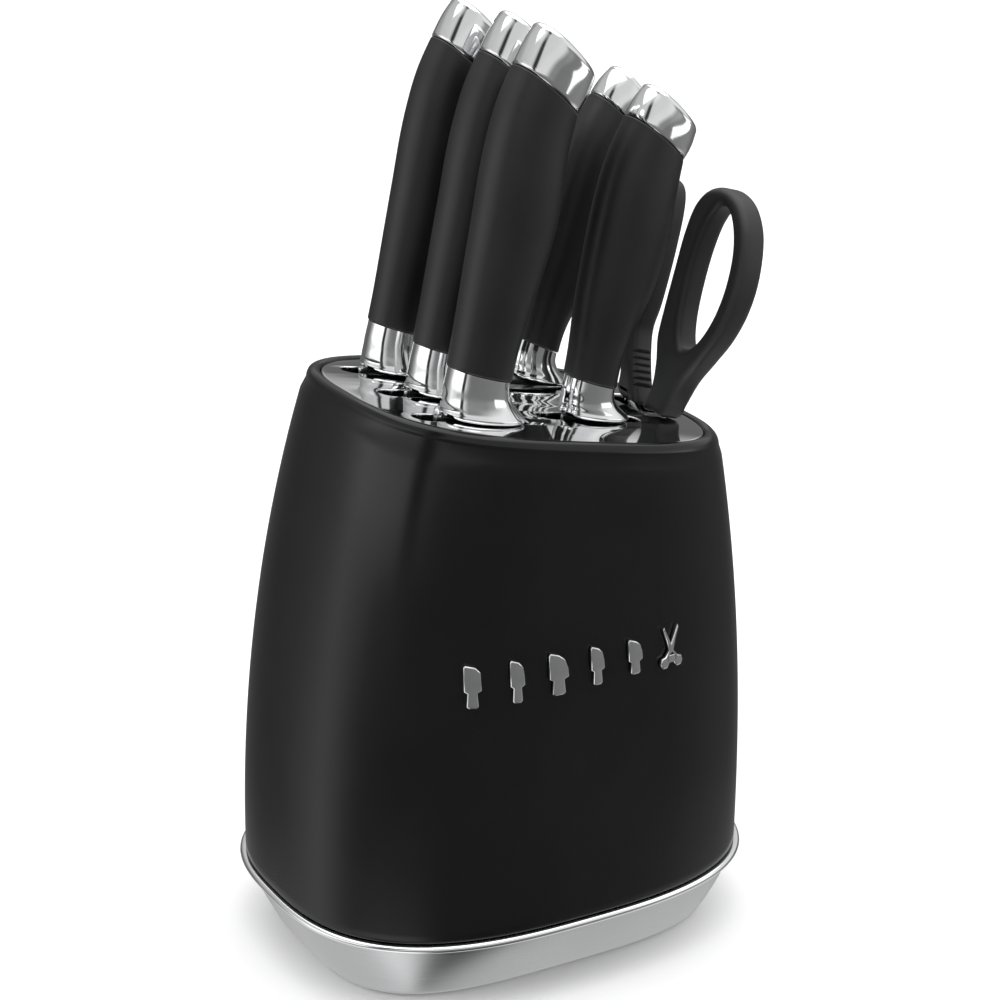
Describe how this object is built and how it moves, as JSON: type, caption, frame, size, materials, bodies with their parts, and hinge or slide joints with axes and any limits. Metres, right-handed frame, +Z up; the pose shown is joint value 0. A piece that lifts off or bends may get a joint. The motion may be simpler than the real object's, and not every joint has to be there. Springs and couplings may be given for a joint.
{
  "type": "knife block with knives",
  "caption": "Tapering black knife block on a silver tray, with a tilted chrome top that holds soft-grip kitchen knives with chrome bolsters and a pair of black-handled scissors.",
  "frame": {"origin": "middle of the underside, on the surface the block stands on", "axes": "+Z up, X along the broad face, towards the side where the scissors stand; -Y is the face with the badges"},
  "size_m": [0.184, 0.1476, 0.3354],
  "materials": {
    "shell_gloss_black": "satin gloss",
    "tray_silver": "satin, bead polished",
    "pad_foam": "matte",
    "plate_chrome": "mirror",
    "rack_plastic": "matte",
    "screw_steel": "satin",
    "blade_steel": "fine ground",
    "bolster_chrome": "polished",
    "grip_soft_black": "soft touch",
    "scissors_black": "fine matte",
    "badge_chrome": "satin chrome"
  },
  "bodies": {
    "block": {"outer_shell": "shell_gloss_black", "base_tray": "tray_silver", "non_slip_pad": "pad_foam", "top_plate": "plate_chrome", "guide_rack": "rack_plastic", "rack_screw_1": "screw_steel", "rack_screw_2": "screw_steel", "rack_screw_3": "screw_steel", "rack_screw_4": "screw_steel", "badge_knife_1": "badge_chrome", "badge_knife_2": "badge_chrome", "badge_knife_3": "badge_chrome", "badge_knife_4": "badge_chrome", "badge_knife_5": "badge_chrome", "badge_scissors": "badge_chrome"},
    "bread_knife": {"bread_knife_blade": "blade_steel", "bread_knife_bolster": "bolster_chrome", "bread_knife_grip": "grip_soft_black", "bread_knife_end_cap": "bolster_chrome"},
    "carving_knife": {"carving_knife_blade": "blade_steel", "carving_knife_bolster": "bolster_chrome", "carving_knife_grip": "grip_soft_black", "carving_knife_end_cap": "bolster_chrome"},
    "chef_knife": {"chef_knife_blade": "blade_steel", "chef_knife_bolster": "bolster_chrome", "chef_knife_grip": "grip_soft_black", "chef_knife_end_cap": "bolster_chrome"},
    "utility_knife": {"utility_knife_blade": "blade_steel", "utility_knife_bolster": "bolster_chrome", "utility_knife_grip": "grip_soft_black", "utility_knife_end_cap": "bolster_chrome"},
    "paring_knife": {"paring_knife_blade": "blade_steel", "paring_knife_bolster": "bolster_chrome", "paring_knife_grip": "grip_soft_black", "paring_knife_end_cap": "bolster_chrome"},
    "scissors": {"scissors_blade_front": "blade_steel", "scissors_handle_front": "scissors_black", "scissors_pivot": "screw_steel"},
    "scissors_rear": {"scissors_blade_rear": "blade_steel", "scissors_handle_rear": "scissors_black"}
  },
  "joints": [
    {"name": "bread_knife_slide", "type": "slide", "parent": "block", "child": "bread_knife", "axis": [0.2521, 0, 0.9677], "range_m": [0, 0.185]},
    {"name": "carving_knife_slide", "type": "slide", "parent": "block", "child": "carving_knife", "axis": [0.2504, 0, 0.9681], "range_m": [0, 0.185]},
    {"name": "chef_knife_slide", "type": "slide", "parent": "block", "child": "chef_knife", "axis": [0.2363, 0, 0.9717], "range_m": [0, 0.185]},
    {"name": "utility_knife_slide", "type": "slide", "parent": "block", "child": "utility_knife", "axis": [0.3746, 0, 0.9272], "range_m": [0, 0.19]},
    {"name": "paring_knife_slide", "type": "slide", "parent": "block", "child": "paring_knife", "axis": [0.2649, 0, 0.9643], "range_m": [0, 0.095]},
    {"name": "scissors_slide", "type": "slide", "parent": "block", "child": "scissors", "axis": [0.2672, 0, 0.9636], "range_m": [0, 0.112]},
    {"name": "scissors_hinge", "type": "hinge", "parent": "scissors", "child": "scissors_rear", "pos_m": [0.05913, -0.004, 0.17928], "axis": [-0.9636, 0, 0.2672], "range_deg": [0, 22]}
  ]
}
